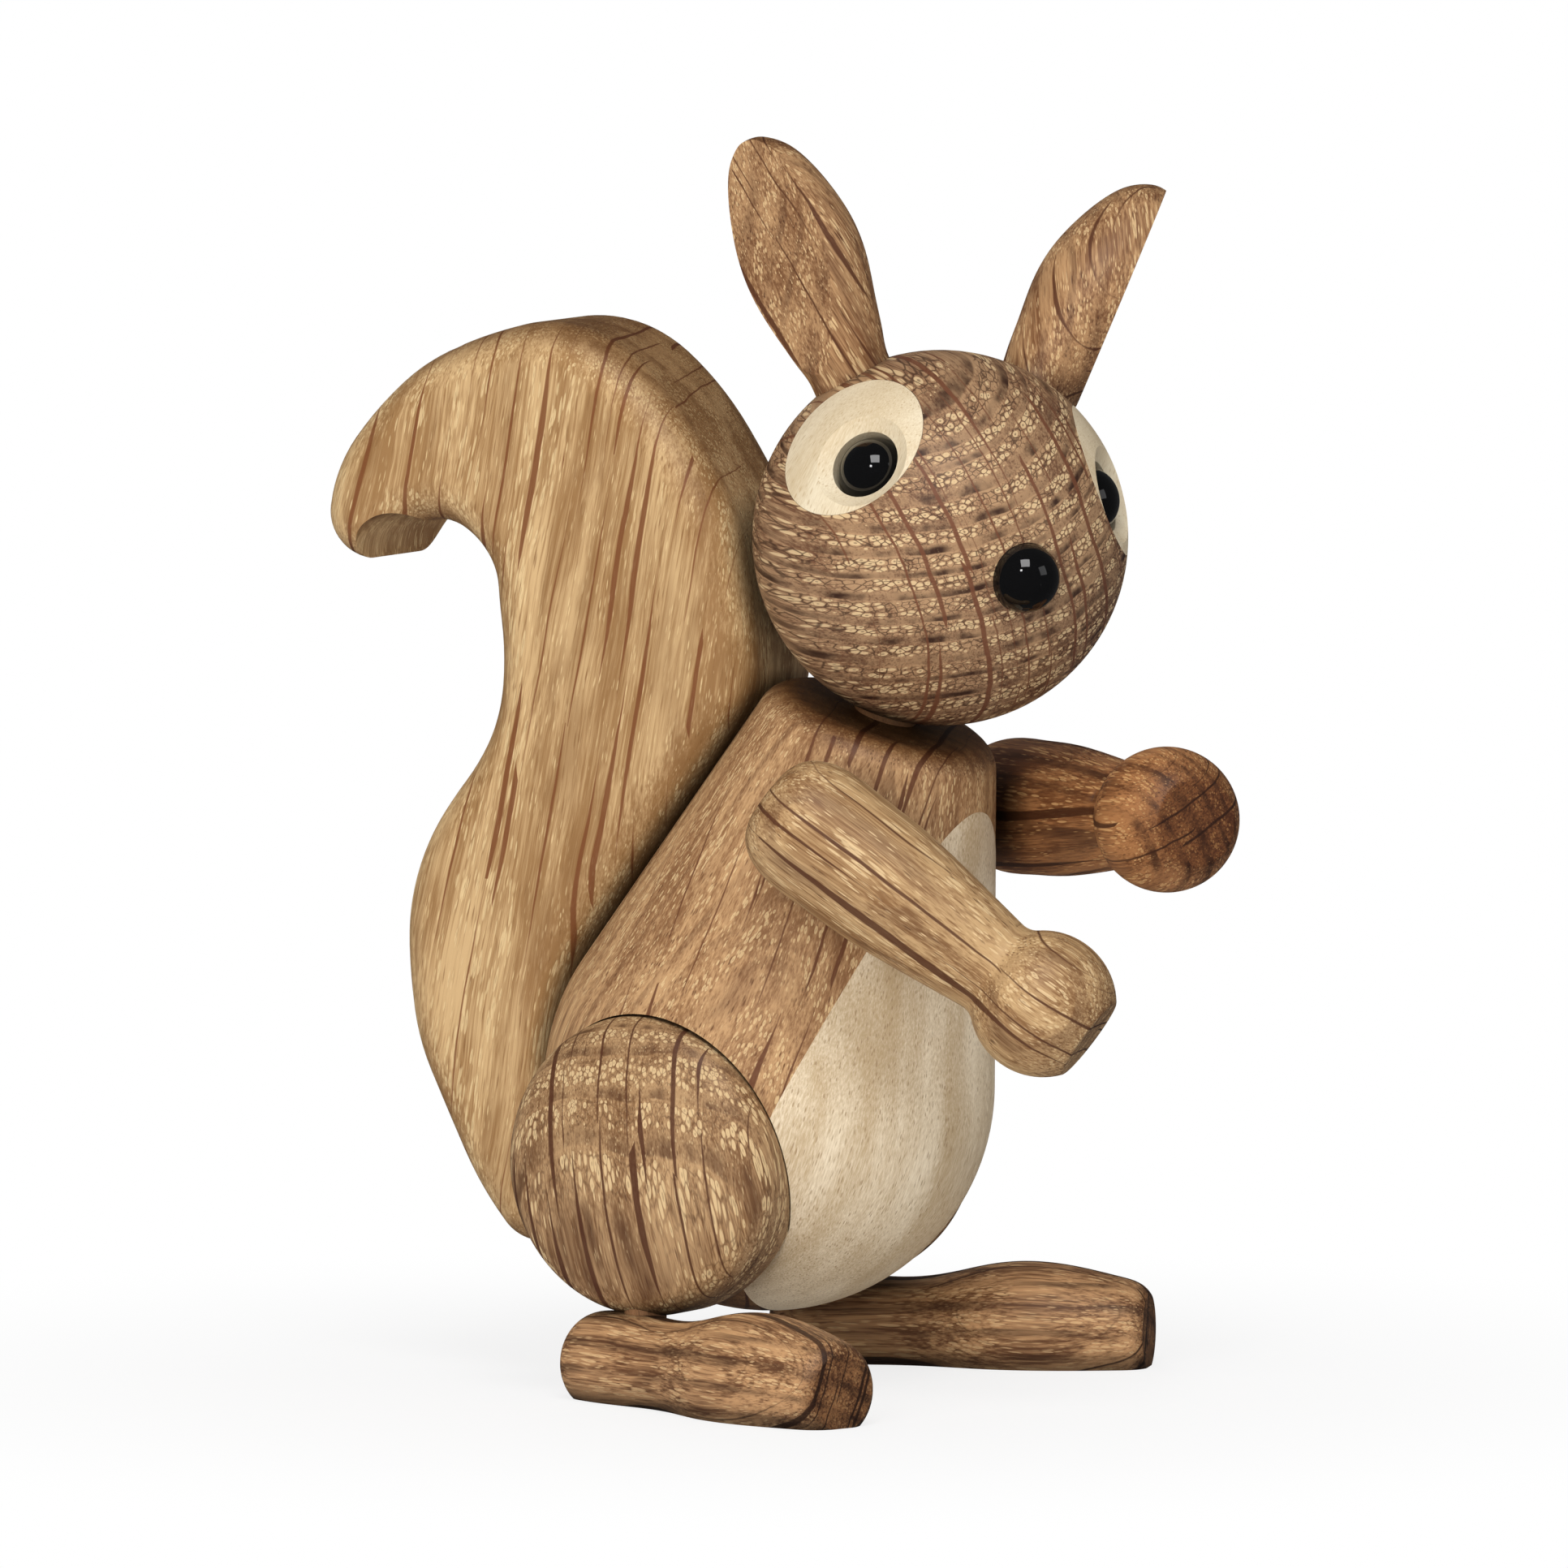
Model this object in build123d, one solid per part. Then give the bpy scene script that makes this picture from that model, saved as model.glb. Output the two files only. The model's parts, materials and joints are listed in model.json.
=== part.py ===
from build123d import *
import math
import os

os.makedirs("parts", exist_ok=True)

# The squirrel stands on the ground plane z = 0, looks along -Y, and its left side is +X.
# Lengths are in millimetres and angles in degrees.

# Fits
glue_gap = 0.03
running_gap = 0.05
dowel_end_gap = 0.4
hole_mouth = 0.5

# Body: a turned pear that leans forward, with a flat top
body_back = 0.67
body_height = 28.0
body_lean = 19.4
body_radius = 21.1
body_taper = 16.6
body_top = 37.5
body_top_round = 3.0

# Maple belly, glued to the front of the body
belly_depth = 10.1
belly_slope = 3.8

# Head ball, which turns on the neck dowel
head_radius = 17.5
head_gap = 0.3
head_turn = 36.5
face_tip = 3.5
neck_dowel_radius = 3.0
neck_dowel_in_body = 12.0
neck_dowel_in_head = 10.0

# Eyes: a round maple plug with a hollow, and a black bead with a stem
eye_plug_radius = 7.4
eye_plug_seat = 12.5
eye_height = 34.0
right_eye_turn = 74.0
left_eye_turn = 68.5
eye_bead_drop = 3.5
eye_bead_inset = 11.0
eye_bead_radius = 3.3
eye_stem_radius = 1.2
eye_stem_length = 4.0
eye_hollow_radius = 8.0
eye_hollow_depth = 2.1

# Nose bead
nose_radius = 3.27
nose_height = 8.0
nose_turn = 4.0
nose_collar = 0.7
nose_stem_radius = 1.2
nose_stem_length = 5.0

# Ears: turned, with the outer side sliced flat
ear_length = 23.8
ear_radius = 5.95
ear_height = 46.0
ear_turn = 129.3
ear_root = 3.0
ear_tilt_side = 0.507
ear_tilt_up = 0.788
ear_tilt_back = 0.349
ear_face_side = 0.876
ear_face_front = 0.458
ear_face_down = 0.150
ear_face_offset = 1.9
ear_face_at_share = 0.58
ear_outline_shares = [
    (0.00, 0.65), (0.10, 0.72), (0.22, 0.82), (0.40, 0.97), (0.54, 1.00),
    (0.70, 0.90), (0.84, 0.72), (0.93, 0.51), (0.98, 0.28),
]
ear_dowel_radius = 1.5
ear_dowel_in_head = 8.0
ear_dowel_in_ear = 8.0

# Arms: turned pegs with a ball for a hand, each turning on a shoulder dowel
arm_length = 37.4
arm_radius = 6.35
arm_pivot = 6.5
arm_gap = 0.4
arm_spread = 21.5
right_arm_turn_in = -2.5
left_arm_turn_in = 4.0
arm_station = 27.7
arm_end_radius = 3.2
arm_outline_shares = [
    (0.03, 0.79), (0.09, 0.96), (0.22, 1.00), (0.36, 0.98), (0.49, 0.905),
    (0.60, 0.82),
]
hand_radius = 6.8
hand_cut = 5.4
hand_edge_round = 0.5
wrist_radius = 4.6
wrist_round = 2.0
right_arm_down = 35.6
left_arm_down = -1.8
shoulder_dowel_radius = 2.5
shoulder_dowel_in_body = 8.0
shoulder_dowel_in_arm = 8.5

# Thighs: turned buns, each seated in a round recess in the side of the body
thigh_radius = 14.1
thigh_back = 2.7
thigh_drop = 6.0
thigh_seat = 14.0
thigh_rim = 3.9
thigh_dome = 6.6
thigh_recess_gap = 0.12
hip_dowel_radius = 2.5
hip_dowel_in_body = 7.0
hip_dowel_in_thigh = 7.0

# Feet: turned pegs with a flat sole
foot_length = 35.9
foot_radius = 6.4
foot_axis_height = 3.35
foot_splay = 19.0
foot_heel_side = 17.3
foot_heel_back = 9.4
foot_end_radius = 3.0
foot_outline_shares = [
    (0.02, 0.66), (0.09, 0.76), (0.20, 0.77), (0.33, 0.73), (0.45, 0.79),
    (0.58, 0.95), (0.68, 1.00), (0.80, 0.94), (0.92, 0.80), (0.98, 0.68),
]
foot_toe_radius = 3.6
ankle_dowel_radius = 2.0
ankle_dowel_in_foot = 4.6
ankle_dowel_in_thigh = 7.0
ankle_side = 18.6
ankle_back = 2.6

# Tail: one S-shaped board with well rounded edges, let a little way into the body's back.
# Each bend is a share of the depth, a share of the height and the heading there in degrees.
# A round scoop under the curl leaves the tip thin.
tail_thickness = 17.0
tail_depth = 44.5
tail_height = 99.2
tail_let_in = 0.4
tail_foot_let_in = 1.1
tail_foot_radius = 4.5
tail_seat_angles = [-26.5, 10.0]
tail_seat_low = 7.2
tail_seat_high = 33.0
tail_front_shares = [
    (-0.028, 0.681, 92.0), (0.000, 0.792, 80.0), (0.121, 0.900, 55.5), (0.465, 1.000, 0.0),
    (0.600, 0.988, -17.0), (0.822, 0.938, -40.0),
]
tail_tip_share = 0.8125
tail_tip_size_share = 0.101
tail_tip_turns = [8.0, -88.0]
tail_back_shares = [
    (0.735, 0.808, 180.0), (0.610, 0.776, -125.0), (0.580, 0.716, -98.0), (0.614, 0.599, -62.0),
    (0.721, 0.532, -55.0), (0.807, 0.403, -92.0), (0.753, 0.283, -116.0),
]
tail_end_turn = -41.5
tail_edge_round = 4.15
tail_round_share = 0.93
tail_scoop_place_share = (0.818, 0.772)
tail_scoop_size_share = 0.094
tail_dowel_radius = 2.0
tail_dowel_in_body = 8.0
tail_dowel_in_tail = 8.0
tail_dowel_low = 12.0
tail_dowel_high = 28.0


def direction(height, turn):
    """A unit vector in the head's frame: height above the cheeks, turn to the left of the nose."""
    up = math.radians(height)
    side = math.radians(turn)
    return Vector(math.cos(up) * math.sin(side), -math.cos(up) * math.cos(side), math.sin(up))


def spun(edges):
    """A solid turned about local Z from a closed outline in the local XZ plane."""
    return revolve(Face(Wire(edges)), Axis.Z)


def rod(radius, start, end):
    """A plain round rod along local Z."""
    return Pos(0, 0, start) * Cylinder(radius, end - start, align=(Align.CENTER, Align.CENTER, Align.MIN))


def looking(way, origin=Vector(0, 0, 0)):
    """A place whose local Z runs along the given way."""
    return Plane(origin=origin, z_dir=way).location


def peg_outline(shares, length, radius, start_radius):
    """The curved side of a turned peg, from the rim of its start face."""
    points = [(start_radius, 0, 0)]
    for along, wide in shares:
        points.append((wide * radius, 0, along * length))
    return points


def save(shape, name):
    shape.label = name
    export_step(shape, os.path.join("parts", name + ".step"))


# Places
body_place = Plane(
    origin=(0, body_back, body_height),
    x_dir=(1, 0, 0),
    z_dir=(0, -math.sin(math.radians(body_lean)), math.cos(math.radians(body_lean))),
).location
head_station = body_top + head_gap + head_radius
head_place = body_place * Location((0, 0, head_station), (0, 0, -head_turn)) * Rotation(0, -face_tip, 0)
taper = math.radians(body_taper)
lean = math.radians(body_lean)
quarter_turn = 90.0


def body_radius_at(station):
    """The radius of the body's cone at a height above the centre of its round end."""
    return body_radius / math.cos(taper) - station * math.tan(taper)


# Body and belly from one turned pear
round_start = (body_radius * math.cos(taper), 0, body_radius * math.sin(taper))
halfway = taper / 2 - math.pi / 4
round_middle = (body_radius * math.cos(halfway), 0, body_radius * math.sin(halfway))
top_edge = (body_radius_at(body_top), 0, body_top)
pear = spun([
    ThreePointArc((0, 0, -body_radius), round_middle, round_start),
    Line(round_start, top_edge),
    Line(top_edge, (0, 0, body_top)),
    Line((0, 0, body_top), (0, 0, -body_radius)),
])
pear = fillet(pear.edges().sort_by(Axis.Z)[-1:], body_top_round)
front_size = body_top * 4
front_block = Pos(0, -belly_depth - front_size / 2, 0) * Box(front_size, front_size, front_size)
belly_block = Rotation(belly_slope, 0, 0) * front_block
body = body_place * (pear - belly_block)
belly = body_place * (pear & belly_block)

# Neck dowel: glued in the body, turning in the head
neck_place = body_place * Pos(0, 0, body_top)
neck_dowel = neck_place * rod(neck_dowel_radius, -neck_dowel_in_body, head_gap + neck_dowel_in_head)
body -= neck_place * rod(neck_dowel_radius + glue_gap, -neck_dowel_in_body - dowel_end_gap, hole_mouth)
head_axis_place = body_place * Pos(0, 0, head_station)
head = head_axis_place * Sphere(head_radius)
neck_hole_end = head_gap + neck_dowel_in_head + dowel_end_gap
head -= neck_place * rod(neck_dowel_radius + running_gap, -hole_mouth, neck_hole_end)

# Nose
nose_place = head_place * looking(direction(nose_height, nose_turn))
nose_rim = math.sqrt(head_radius**2 - nose_radius**2)
nose_seat = nose_rim - nose_collar
nose_bead = rod(nose_radius, nose_seat, nose_rim)
nose_dome = Sphere(nose_radius) & rod(nose_radius, 0, nose_radius)
nose_bead += Pos(0, 0, nose_rim) * nose_dome
nose_bead += rod(nose_stem_radius, nose_seat - nose_stem_length, nose_seat)
save(nose_place * nose_bead, "nose_bead")
head -= nose_place * rod(nose_radius + glue_gap, nose_seat, head_radius)
nose_hole_end = nose_seat - nose_stem_length - dowel_end_gap
head -= nose_place * rod(nose_stem_radius + glue_gap, nose_hole_end, nose_seat)

# Eyes
plug_rim = (eye_plug_radius, 0, math.sqrt(head_radius**2 - eye_plug_radius**2))
plug_slope = math.asin(eye_plug_radius / head_radius) / 2
plug_middle = (head_radius * math.sin(plug_slope), 0, head_radius * math.cos(plug_slope))
plug_blank = spun([
    Line((0, 0, eye_plug_seat), (eye_plug_radius, 0, eye_plug_seat)),
    Line((eye_plug_radius, 0, eye_plug_seat), plug_rim),
    ThreePointArc(plug_rim, plug_middle, (0, 0, head_radius)),
    Line((0, 0, head_radius), (0, 0, eye_plug_seat)),
])
eye_bead_base = head_radius - eye_bead_radius
hollow_centre = head_radius - eye_hollow_depth + eye_hollow_radius
eye_sides = {"right": -right_eye_turn, "left": left_eye_turn}
for side, turn in eye_sides.items():
    outward = math.copysign(eye_bead_inset, turn)
    plug_place = looking(direction(eye_height, turn))
    bead_place = looking(direction(eye_height - eye_bead_drop, turn - outward))
    bead_hole = rod(eye_bead_radius + glue_gap, eye_bead_base, head_radius)
    stem_end = eye_bead_base - eye_stem_length
    stem_hole = rod(eye_stem_radius + glue_gap, stem_end - dowel_end_gap, eye_bead_base)
    plug = plug_place * plug_blank - bead_place * Pos(0, 0, hollow_centre) * Sphere(eye_hollow_radius)
    plug -= bead_place * bead_hole
    plug -= bead_place * stem_hole
    bead = Sphere(eye_bead_radius) & rod(eye_bead_radius, 0, eye_bead_radius)
    bead = Pos(0, 0, eye_bead_base) * bead + rod(eye_stem_radius, stem_end, eye_bead_base)
    save(head_place * plug, "eye_plug_" + side)
    save(head_place * bead_place * bead, "eye_bead_" + side)
    head -= head_place * plug_place * rod(eye_plug_radius + glue_gap, eye_plug_seat, head_radius)
    head -= head_place * bead_place * stem_hole

# Ears
ear_points = peg_outline(ear_outline_shares, ear_length, ear_radius, 0)[1:]
ear_tip = (0, 0, ear_length)
ear_base = (ear_points[0][0], 0, -ear_root)
ear_outline = [
    Line((0, 0, -ear_root), ear_base),
    Line(ear_base, ear_points[0]),
    Spline(*ear_points, ear_tip, tangents=[(0, 0, 1), (-1, 0, 0)]),
    Line(ear_tip, (0, 0, -ear_root)),
]
ear_blank = spun(ear_outline)
ear_dowels = []
for side, sign in (("right", -1), ("left", 1)):
    root = direction(ear_height, sign * ear_turn) * head_radius
    along = Vector(sign * ear_tilt_side, ear_tilt_back, ear_tilt_up).normalized()
    facing = Vector(sign * ear_face_side, -ear_face_front, -ear_face_down).normalized()
    ear_place = Plane(origin=root, x_dir=-facing, z_dir=along).location
    face_middle = root + along * (ear_face_at_share * ear_length) + facing * ear_face_offset
    slice_block = looking(facing, face_middle) * rod(ear_length * 2, 0, ear_length)
    ear = ear_place * ear_blank - slice_block - Sphere(head_radius)
    dowel = ear_place * rod(ear_dowel_radius, -ear_dowel_in_head, ear_dowel_in_ear)
    hole = ear_place * rod(
        ear_dowel_radius + glue_gap, -ear_dowel_in_head - dowel_end_gap, ear_dowel_in_ear + dowel_end_gap
    )
    save(head_place * (ear - hole), "ear_" + side)
    ear_dowels.append(head_place * dowel)
    head -= head_place * hole
save(Compound(children=ear_dowels), "ear_dowels")
save(head, "head")
save(neck_dowel, "neck_dowel")

# Arms
hand_middle = arm_length - hand_cut
wrist_station = hand_middle - math.sqrt(hand_radius**2 - wrist_radius**2)
hand_end_radius = math.sqrt(hand_radius**2 - hand_cut**2)
arm_points = peg_outline(arm_outline_shares, arm_length, arm_radius, arm_end_radius)
arm_points.append((wrist_radius, 0, wrist_station))
arm_outline = [
    Line((0, 0, 0), arm_points[0]),
    Spline(*arm_points),
    ThreePointArc(arm_points[-1], (hand_radius, 0, hand_middle), (hand_end_radius, 0, arm_length)),
    Line((hand_end_radius, 0, arm_length), (0, 0, arm_length)),
    Line((0, 0, arm_length), (0, 0, 0)),
]
arm_blank = spun(arm_outline)
arm_blank = fillet(arm_blank.edges().sort_by(Axis.Z)[-1:], hand_edge_round)
wrist = arm_blank.edges().filter_by(GeomType.CIRCLE).sort_by(Axis.Z)[1:2]
arm_blank = fillet(wrist, wrist_round)
arm_sides = {
    "right": (-1, right_arm_down, right_arm_turn_in),
    "left": (1, left_arm_down, left_arm_turn_in),
}
shoulder_dowels = []
for side, (sign, down, turn_in) in arm_sides.items():
    spread = math.radians(arm_spread)
    outward = Vector(sign * math.cos(spread), -math.sin(spread), 0)
    axle = outward * math.cos(taper) + Vector(0, 0, 1) * math.sin(taper)
    surface = outward * body_radius_at(arm_station) + Vector(0, 0, arm_station)
    pivot = surface + axle * (arm_radius + arm_gap)
    # The arm swings in a plane across its axle, turned in a little where the hole was drilled so
    spread += math.radians(turn_in)
    outward = Vector(sign * math.cos(spread), -math.sin(spread), 0)
    axle = outward * math.cos(taper) + Vector(0, 0, 1) * math.sin(taper)
    forward = Vector(-sign * math.sin(spread), -math.cos(spread), 0)
    downward = outward * math.sin(taper) - Vector(0, 0, 1) * math.cos(taper)
    # The turn about the axle that brings the arm to its drop below level
    up = Vector(0, math.sin(lean), math.cos(lean))
    level = math.atan2(downward.dot(up), forward.dot(up))
    reach = math.hypot(downward.dot(up), forward.dot(up))
    turn = level + math.acos(-math.sin(math.radians(down)) / reach)
    along = forward * math.cos(turn) + downward * math.sin(turn)
    arm_place = body_place * looking(along, pivot - along * arm_pivot)
    axle_place = body_place * looking(axle, pivot)
    hub = arm_radius + arm_gap
    dowel = rod(shoulder_dowel_radius, -hub - shoulder_dowel_in_body, shoulder_dowel_in_arm - hub)
    arm_hole = rod(shoulder_dowel_radius + running_gap, -hub, shoulder_dowel_in_arm - hub + dowel_end_gap)
    body_hole = rod(
        shoulder_dowel_radius + glue_gap, -hub - shoulder_dowel_in_body - dowel_end_gap, -arm_radius
    )
    save(arm_place * arm_blank - axle_place * arm_hole, "arm_" + side)
    shoulder_dowels.append(axle_place * dowel)
    body -= axle_place * body_hole
    belly -= axle_place * body_hole
save(Compound(children=shoulder_dowels), "shoulder_dowels")

# Thighs and feet
thigh_height = body_height - thigh_drop
thigh_corner = (thigh_radius, 0, thigh_seat + thigh_rim)
thigh_peak = (0, 0, thigh_seat + thigh_rim + thigh_dome)
dome_middle = (thigh_radius * math.sqrt(0.5), 0, thigh_seat + thigh_rim + thigh_dome * math.sqrt(0.5))
thigh_blank = spun([
    Line((0, 0, thigh_seat), (thigh_radius, 0, thigh_seat)),
    Line((thigh_radius, 0, thigh_seat), thigh_corner),
    Spline(thigh_corner, dome_middle, thigh_peak, tangents=[(0, 0, 1), (-1, 0, 0)]),
    Line(thigh_peak, (0, 0, thigh_seat)),
])
foot_points = peg_outline(foot_outline_shares, foot_length, foot_radius, foot_end_radius)
foot_points.append((foot_toe_radius, 0, foot_length))
foot_blank = spun([
    Line((0, 0, 0), foot_points[0]),
    Spline(*foot_points),
    Line(foot_points[-1], (0, 0, foot_length)),
    Line((0, 0, foot_length), (0, 0, 0)),
])
hip_dowels = []
ankle_dowels = []
splay = math.radians(foot_splay)
for side, sign in (("right", -1), ("left", 1)):
    hip_place = Location((0, body_back + thigh_back, thigh_height)) * looking(Vector(sign, 0, 0))
    recess = hip_place * rod(thigh_radius + thigh_recess_gap, thigh_seat, body_radius + thigh_rim)
    hip_hole = hip_place * rod(
        hip_dowel_radius + glue_gap,
        thigh_seat - hip_dowel_in_body - dowel_end_gap,
        thigh_seat + hip_dowel_in_thigh + dowel_end_gap,
    )
    hip_dowel = rod(hip_dowel_radius, thigh_seat - hip_dowel_in_body, thigh_seat + hip_dowel_in_thigh)
    hip_dowels.append(hip_place * hip_dowel)
    body -= recess
    belly -= recess
    body -= hip_hole
    belly -= hip_hole
    thigh = hip_place * thigh_blank
    toes = Vector(sign * math.sin(splay), -math.cos(splay), 0)
    heel = Vector(sign * foot_heel_side, body_back + foot_heel_back, foot_axis_height)
    foot = looking(toes, heel) * foot_blank
    foot -= Pos(0, 0, -foot_length) * Box(front_size, front_size, foot_length * 2)
    foot -= thigh
    ankle_place = Location((sign * ankle_side, body_back + ankle_back, thigh_height - thigh_radius))
    ankle_hole = ankle_place * rod(
        ankle_dowel_radius + glue_gap,
        -ankle_dowel_in_foot - dowel_end_gap,
        ankle_dowel_in_thigh + dowel_end_gap,
    )
    ankle_dowels.append(ankle_place * rod(ankle_dowel_radius, -ankle_dowel_in_foot, ankle_dowel_in_thigh))
    save(thigh - hip_hole - ankle_hole, "thigh_" + side)
    save(foot - ankle_hole, "foot_" + side)
save(Compound(children=hip_dowels), "hip_dowels")
save(Compound(children=ankle_dowels), "ankle_dowels")


# Tail
back_normal = Vector(0, math.cos(taper + lean), math.sin(taper + lean))
back_heading = math.degrees(taper + lean) + quarter_turn


def bends(shares):
    """The tail's bends as points with a heading."""
    return [(body_back + depth * tail_depth, up * tail_height, heading) for depth, up, heading in shares]


def on_ring(centre, radius, angle, way):
    """A point with its heading on a ring, passed to the left (way 1) or to the right (way -1)."""
    turn = math.radians(angle)
    across = centre[0] + radius * math.cos(turn)
    return (across, centre[1] + radius * math.sin(turn), angle + way * quarter_turn)


def on_back(station):
    """A point on the back line of the body, moved in by the amount the tail is let in."""
    local = Vector(0, body_radius_at(station), station)
    local -= Vector(0, math.cos(taper), math.sin(taper)) * tail_let_in
    point = (body_place * Pos(local)).position
    return (point.Y, point.Z, back_heading)


def joined(start, end):
    """Two arcs that leave the start bend and reach the end bend along their headings."""
    leave = Vector(0, math.cos(math.radians(start[2])), math.sin(math.radians(start[2])))
    reach = Vector(0, math.cos(math.radians(end[2])), math.sin(math.radians(end[2])))
    first = Vector(0, start[0], start[1])
    last = Vector(0, end[0], end[1])
    span = last - first
    if start[2] == end[2]:
        return [Line(first, last)]
    spread = 2 - 2 * leave.dot(reach)
    drift = span.dot(leave + reach)
    pull = (math.sqrt(drift**2 + spread * span.dot(span)) - drift) / spread
    meeting = (first + last + (leave - reach) * pull) / 2
    opening = TangentArc(first, meeting, tangent=leave)
    return [opening, TangentArc(meeting, last, tangent=opening % 1)]


body_middle = (body_back, body_height)
seat_radius = body_radius - tail_foot_let_in
foot_turn = math.radians(tail_seat_angles[0])
foot_reach = seat_radius + tail_foot_radius
foot_ring = (body_back + foot_reach * math.cos(foot_turn), body_height + foot_reach * math.sin(foot_turn))
tail_tip_radius = tail_tip_size_share * tail_depth
tip_ring = (body_back + tail_depth - tail_tip_radius, tail_tip_share * tail_height)
tail_bends = [on_ring(body_middle, seat_radius, angle, 1) for angle in tail_seat_angles]
tail_bends += [on_back(station) for station in (tail_seat_low, tail_seat_high)]
tail_bends += bends(tail_front_shares)
tail_bends += [on_ring(tip_ring, tail_tip_radius, angle, -1) for angle in tail_tip_turns]
tail_bends += bends(tail_back_shares)
tail_bends.append(on_ring(foot_ring, tail_foot_radius, tail_end_turn, -1))
tail_outline = []
for start, end in zip(tail_bends, tail_bends[1:] + tail_bends[:1]):
    tail_outline += joined(start, end)
tail = extrude(Face(Wire(tail_outline)), tail_thickness / 2, dir=(1, 0, 0), both=True)
rims = tail.edges().filter_by(lambda edge: abs(edge.center().X) > tail_thickness / 4)
tail = fillet(rims, min(tail_edge_round, tail_tip_radius * tail_round_share))
scoop_back, scoop_height = tail_scoop_place_share
scoop_start = Vector(-tail_thickness, body_back + scoop_back * tail_depth, scoop_height * tail_height)
scoop_radius = tail_scoop_size_share * tail_depth
tail -= looking(Vector(1, 0, 0), scoop_start) * rod(scoop_radius, 0, tail_thickness * 2)
body -= tail
tail_dowels = []
for station in (tail_dowel_low, tail_dowel_high):
    seat = (body_place * Pos(0, body_radius_at(station), station)).position
    dowel_place = looking(back_normal, seat)
    tail_dowels.append(dowel_place * rod(tail_dowel_radius, -tail_dowel_in_body, tail_dowel_in_tail))
    tail_hole = dowel_place * rod(
        tail_dowel_radius + glue_gap,
        -tail_dowel_in_body - dowel_end_gap,
        tail_dowel_in_tail + dowel_end_gap,
    )
    tail -= tail_hole
    body -= tail_hole
save(Compound(children=tail_dowels), "tail_dowels")
save(tail, "tail")
save(body, "body")
save(belly, "belly")
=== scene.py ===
import json
import math

import bpy
from mathutils import Matrix, Vector


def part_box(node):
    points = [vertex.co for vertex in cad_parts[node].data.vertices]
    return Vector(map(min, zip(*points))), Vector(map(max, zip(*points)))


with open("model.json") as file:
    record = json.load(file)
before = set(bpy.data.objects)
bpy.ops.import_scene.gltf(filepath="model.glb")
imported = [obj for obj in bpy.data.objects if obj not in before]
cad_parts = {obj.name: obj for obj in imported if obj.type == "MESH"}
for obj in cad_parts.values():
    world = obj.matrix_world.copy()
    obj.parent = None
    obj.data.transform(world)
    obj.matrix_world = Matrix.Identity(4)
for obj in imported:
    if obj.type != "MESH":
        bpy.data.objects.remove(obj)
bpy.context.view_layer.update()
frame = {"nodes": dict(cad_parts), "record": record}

MM = 0.001
WHITE = (1.0, 1.0, 1.0, 1.0)

# Painted shade in the gaps between pieces, where the colour is darkened: how far it looks,
# with how many samples, and the share of open view between which it fades
PAINTED_SHADE_REACH = 4.0 * MM
PAINTED_SHADE_SAMPLES = 4
PAINTED_SHADE_OPENNESS = (0.15, 0.85)

# The standard curve between screen values and light
SCREEN_MAX = 255
TOE_END, TOE_SLOPE, CURVE_LIFT, CURVE_POWER = 0.04045, 12.92, 0.055, 2.4


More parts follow.
